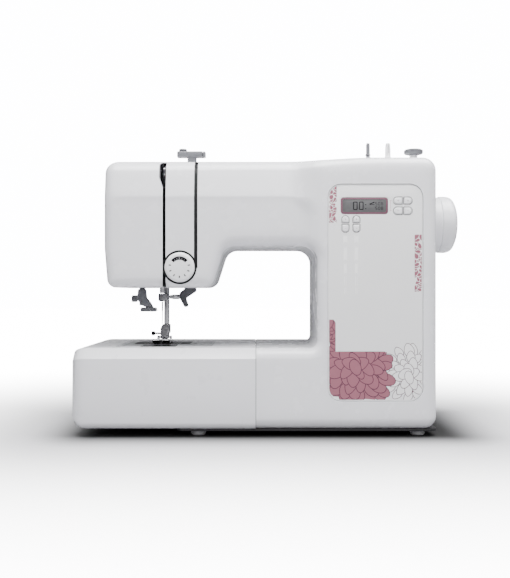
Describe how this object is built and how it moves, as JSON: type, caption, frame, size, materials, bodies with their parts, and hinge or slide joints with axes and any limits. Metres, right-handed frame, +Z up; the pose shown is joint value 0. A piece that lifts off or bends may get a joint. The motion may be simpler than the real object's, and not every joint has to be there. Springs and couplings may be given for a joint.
{
  "type": "sewing machine",
  "caption": "Electronic sewing machine with a free arm, a slide-off extension bed, a display panel with keys, a turning handwheel and a folding carry handle.",
  "frame": {"origin": "on the table under the middle of the machine, at the centre of its footprint", "axes": "+X along the arm from the needle to the handwheel, +Y to the back, +Z up"},
  "size_m": [0.406, 0.172, 0.307],
  "materials": {
    "white_plastic": "glossy moulded plastic",
    "bed_plastic": "satin moulded plastic",
    "key_plastic": "satin moulded plastic",
    "base_plastic": "matt moulded plastic",
    "panel_plastic": "satin moulded plastic with a printed flower pattern",
    "trim_plastic": "matt moulded plastic",
    "black_plastic": "matt moulded plastic",
    "pulley_plastic": "matt moulded plastic",
    "display_glass": "gloss window over a liquid crystal display",
    "board": "green solder mask",
    "lamp_lens": "milky lens",
    "clear_plastic": "smoked clear plastic",
    "casting": "as cast",
    "steel": "ground",
    "chrome": "plated",
    "rubber": "ribbed belt",
    "foot_rubber": "matt"
  },
  "bodies": {
    "root": {"front_cover": "white_plastic", "rear_cover": "white_plastic", "face_cover": "white_plastic", "bottom_plate": "base_plastic", "free_arm_cover": "bed_plastic", "frame_casting": "casting", "control_panel": "panel_plastic", "display": "display_glass", "circuit_board": "board", "needle_plate": "steel", "bobbin_case": "black_plastic", "thread_cutter": "trim_plastic", "led_lamp": "lamp_lens", "socket_block": "black_plastic", "winder_stop": "trim_plastic", "thread_guide": "trim_plastic", "motor": "steel", "drive_belt": "rubber", "timing_belt": "rubber", "foot_1": "foot_rubber", "foot_2": "foot_rubber", "foot_3": "foot_rubber", "foot_4": "foot_rubber"},
    "drive": {"main_shaft": "steel", "main_pulley": "pulley_plastic", "handwheel": "white_plastic"},
    "link": {"needle_link": "steel"},
    "take_up": {"take_up_lever": "chrome"},
    "needle_unit": {"needle_bar": "steel", "needle_clamp": "steel", "needle": "chrome"},
    "clamp_screw_body": {"clamp_screw": "steel"},
    "presser_unit": {"presser_bar": "steel", "foot_holder": "steel"},
    "foot_body": {"presser_foot": "chrome"},
    "lever_body": {"presser_lever": "trim_plastic"},
    "threader_body": {"needle_threader": "trim_plastic"},
    "lower_shaft_body": {"lower_shaft": "steel"},
    "hook_body": {"hook": "steel"},
    "bobbin_body": {"bobbin": "clear_plastic"},
    "bobbin_cover_body": {"bobbin_cover": "clear_plastic"},
    "feed_bar_body": {"feed_bar": "casting"},
    "feed_dog_body": {"feed_dog": "steel"},
    "drop_feed_body": {"drop_feed_lever": "trim_plastic"},
    "motor_shaft_body": {"motor_pulley": "steel"},
    "dial_body": {"tension_dial": "white_plastic"},
    "winder_slide_body": {"winder_carriage": "trim_plastic"},
    "winder_body": {"bobbin_winder": "white_plastic"},
    "spool_pin_body": {"spool_pin": "trim_plastic"},
    "handle_body": {"handle": "white_plastic"},
    "switch_body": {"power_switch": "black_plastic"},
    "attachment_body": {"bed_attachment": "bed_plastic"},
    "key_1_body": {"key_1": "key_plastic"},
    "key_2_body": {"key_2": "key_plastic"},
    "key_3_body": {"key_3": "key_plastic"},
    "key_4_body": {"key_4": "key_plastic"},
    "key_5_body": {"key_5": "key_plastic"},
    "key_6_body": {"key_6": "key_plastic"},
    "key_7_body": {"key_7": "key_plastic"},
    "key_8_body": {"key_8": "key_plastic"}
  },
  "joints": [
    {"name": "handwheel_spin", "type": "hinge", "parent": "root", "child": "drive", "pos_m": [0, -0.011, 0.219], "axis": [1, 0, 0], "continuous": true},
    {"name": "link_pivot", "type": "hinge", "parent": "drive", "child": "link", "pos_m": [-0.108, -0.011, 0.23475], "axis": [1, 0, 0], "continuous": true},
    {"name": "lower_shaft_spin", "type": "hinge", "parent": "root", "child": "lower_shaft_body", "pos_m": [0, -0.011, 0.045], "axis": [1, 0, 0], "continuous": true},
    {"name": "hook_spin", "type": "hinge", "parent": "root", "child": "hook_body", "pos_m": [-0.1176, -0.03, 0.057], "axis": [0, 0, 1], "continuous": true},
    {"name": "motor_spin", "type": "hinge", "parent": "root", "child": "motor_shaft_body", "pos_m": [0.154, -0.011, 0.06], "axis": [1, 0, 0], "continuous": true},
    {"name": "bobbin_spin", "type": "hinge", "parent": "root", "child": "bobbin_body", "pos_m": [-0.1176, -0.03, 0.064], "axis": [0, 0, 1], "continuous": true},
    {"name": "take_up_swing", "type": "hinge", "parent": "root", "child": "take_up", "pos_m": [-0.108, -0.038, 0.24], "axis": [1, 0, 0], "range_deg": [0, 50]},
    {"name": "needle_bar_stroke", "type": "slide", "parent": "root", "child": "needle_unit", "axis": [0, 0, -1], "range_m": [0, 0.0315]},
    {"name": "clamp_screw_turn", "type": "hinge", "parent": "needle_unit", "child": "clamp_screw_body", "pos_m": [-0.105, -0.011, 0.1403], "axis": [1, 0, 0], "range_deg": [0, 360]},
    {"name": "presser_lift", "type": "hinge", "parent": "root", "child": "lever_body", "pos_m": [-0.096, 0.0485, 0.166], "axis": [0, -1, 0], "range_deg": [0, 65]},
    {"name": "presser_bar_slide", "type": "slide", "parent": "root", "child": "presser_unit", "axis": [0, 0, 1], "range_m": [0, 0.006]},
    {"name": "foot_tilt", "type": "hinge", "parent": "presser_unit", "child": "foot_body", "pos_m": [-0.1145, 0.004, 0.0955], "axis": [1, 0, 0], "range_deg": [-8, 0]},
    {"name": "threader_slide", "type": "slide", "parent": "root", "child": "threader_body", "axis": [0, 0, -1], "range_m": [0, 0.014], "stiffness_N_per_m": 60},
    {"name": "feed_lift", "type": "slide", "parent": "root", "child": "feed_bar_body", "axis": [0, 0, -1], "range_m": [0, 0.003]},
    {"name": "feed_travel", "type": "slide", "parent": "feed_bar_body", "child": "feed_dog_body", "axis": [0, 1, 0], "range_m": [-0.002, 0.002]},
    {"name": "drop_feed_slide", "type": "slide", "parent": "root", "child": "drop_feed_body", "axis": [1, 0, 0], "range_m": [0, 0.012]},
    {"name": "bobbin_cover_slide", "type": "slide", "parent": "root", "child": "bobbin_cover_body", "axis": [0, -1, 0], "range_m": [0, 0.005]},
    {"name": "tension_turn", "type": "hinge", "parent": "root", "child": "dial_body", "pos_m": [-0.0923, -0.077, 0.1706], "axis": [0, -1, 0], "range_deg": [-150, 150]},
    {"name": "winder_shift", "type": "slide", "parent": "root", "child": "winder_slide_body", "axis": [1, 0, 0], "range_m": [0, 0.005]},
    {"name": "winder_spin", "type": "hinge", "parent": "winder_slide_body", "child": "winder_body", "pos_m": [0.1278, -0.02, 0.272], "axis": [0, 0, 1], "continuous": true},
    {"name": "spool_pin_fold", "type": "hinge", "parent": "root", "child": "spool_pin_body", "pos_m": [0.1062, -0.02, 0.2893], "axis": [0, -1, 0], "range_deg": [0, 85]},
    {"name": "handle_swing", "type": "hinge", "parent": "root", "child": "handle_body", "pos_m": [0.005, 0, 0.277], "axis": [1, 0, 0], "range_deg": [0, 90]},
    {"name": "power_rock", "type": "hinge", "parent": "root", "child": "switch_body", "pos_m": [0.167, 0.006, 0.052], "axis": [0, 1, 0], "range_deg": [-8, 8]},
    {"name": "attachment_slide", "type": "slide", "parent": "root", "child": "attachment_body", "axis": [-1, 0, 0], "range_m": [0, 0.19]},
    {"name": "key_1_press", "type": "slide", "parent": "root", "child": "key_1_body", "axis": [0, 1, 0], "range_m": [0, 0.0008], "stiffness_N_per_m": 500},
    {"name": "key_2_press", "type": "slide", "parent": "root", "child": "key_2_body", "axis": [0, 1, 0], "range_m": [0, 0.0008], "stiffness_N_per_m": 500},
    {"name": "key_3_press", "type": "slide", "parent": "root", "child": "key_3_body", "axis": [0, 1, 0], "range_m": [0, 0.0008], "stiffness_N_per_m": 500},
    {"name": "key_4_press", "type": "slide", "parent": "root", "child": "key_4_body", "axis": [0, 1, 0], "range_m": [0, 0.0008], "stiffness_N_per_m": 500},
    {"name": "key_5_press", "type": "slide", "parent": "root", "child": "key_5_body", "axis": [0, 1, 0], "range_m": [0, 0.0008], "stiffness_N_per_m": 500},
    {"name": "key_6_press", "type": "slide", "parent": "root", "child": "key_6_body", "axis": [0, 1, 0], "range_m": [0, 0.0008], "stiffness_N_per_m": 500},
    {"name": "key_7_press", "type": "slide", "parent": "root", "child": "key_7_body", "axis": [0, 1, 0], "range_m": [0, 0.0008], "stiffness_N_per_m": 500},
    {"name": "key_8_press", "type": "slide", "parent": "root", "child": "key_8_body", "axis": [0, 1, 0], "range_m": [0, 0.0008], "stiffness_N_per_m": 500}
  ],
  "couplings": [
    {"joint": "link_pivot", "follows": "handwheel_spin", "ratio": -1},
    {"joint": "lower_shaft_spin", "follows": "handwheel_spin", "ratio": 1},
    {"joint": "hook_spin", "follows": "handwheel_spin", "ratio": 2},
    {"joint": "motor_spin", "follows": "handwheel_spin", "ratio": 5.3333},
    {"joint": "presser_lift", "follows": "presser_bar_slide", "rad_per_m": 188.89},
    {"joint": "feed_lift", "follows": "drop_feed_slide", "ratio": 0.25}
  ]
}
